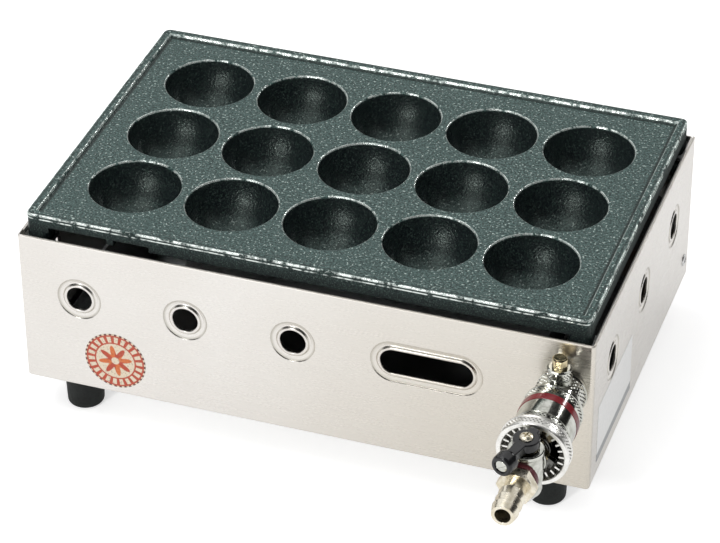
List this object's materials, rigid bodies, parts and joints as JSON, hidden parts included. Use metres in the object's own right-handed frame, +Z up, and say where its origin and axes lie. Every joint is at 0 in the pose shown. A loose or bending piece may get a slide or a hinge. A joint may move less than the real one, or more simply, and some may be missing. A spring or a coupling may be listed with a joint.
{
  "type": "gas takoyaki maker",
  "caption": "Tabletop gas takoyaki cooker: a lift-off cast plate of round pits on a stainless casing with a comb burner, gas cock and rubber feet.",
  "frame": {"origin": "centre of the whole appliance's footprint, at the bottom of the rubber feet", "axes": "+Z up, the front with the gas cock faces -Y, +X to the right seen from the front"},
  "size_m": [0.2612, 0.2552, 0.1027],
  "materials": {
    "stainless": "satin, fine brushed grain",
    "galvanized": "dull zinc-like inner sheet",
    "burner_iron": "heat-darkened casting",
    "plate_iron": "seasoned, satin, slightly rough",
    "chrome": "polished plating",
    "brass": "machined",
    "foot_rubber": "matte",
    "screw_steel": "zinc plated",
    "black_plastic": "moulded, semi-gloss",
    "red_plastic": "thin plastic band"
  },
  "bodies": {
    "base": {"casing_shell": "stainless", "back_panel": "stainless", "base_pan": "galvanized", "heat_shield": "galvanized", "plate_bracket_front_left": "galvanized", "plate_bracket_front_right": "galvanized", "plate_bracket_rear_left": "galvanized", "plate_bracket_rear_right": "galvanized", "back_screws": "screw_steel", "rubber_foot_front_left": "foot_rubber", "rubber_foot_front_right": "foot_rubber", "rubber_foot_rear_left": "foot_rubber", "rubber_foot_rear_right": "foot_rubber", "foot_screws": "screw_steel", "foot_nuts": "screw_steel", "burner_casting": "burner_iron", "burner_stand_left": "galvanized", "burner_stand_right": "galvanized", "stand_screws": "screw_steel", "wall_collar": "chrome", "collar_nut": "screw_steel", "clamp_screw": "brass", "mixing_tube": "chrome", "tube_band": "red_plastic", "port_disc": "chrome", "injector": "brass", "cock_body": "chrome", "marker_ring": "red_plastic", "hose_nipple": "chrome"},
    "plate": {"griddle_plate": "plate_iron"},
    "shutter": {"air_shutter": "chrome"},
    "cock": {"cock_plug": "brass", "plug_washer": "screw_steel", "plug_nut": "screw_steel", "lever_arm": "black_plastic", "lever_knob": "black_plastic", "lever_screw": "screw_steel"}
  },
  "joints": [
    {"name": "plate_lift", "type": "slide", "parent": "base", "child": "plate", "axis": [0, 0, 1], "range_m": [0, 0.1]},
    {"name": "shutter_turn", "type": "hinge", "parent": "base", "child": "shutter", "pos_m": [0.11515, -0.0804, 0.068], "axis": [0, -1, 0], "range_deg": [0, 90]},
    {"name": "cock_turn", "type": "hinge", "parent": "base", "child": "cock", "pos_m": [0.11515, -0.0956, 0.068], "axis": [0, 0, 1], "range_deg": [-90, 0]}
  ]
}
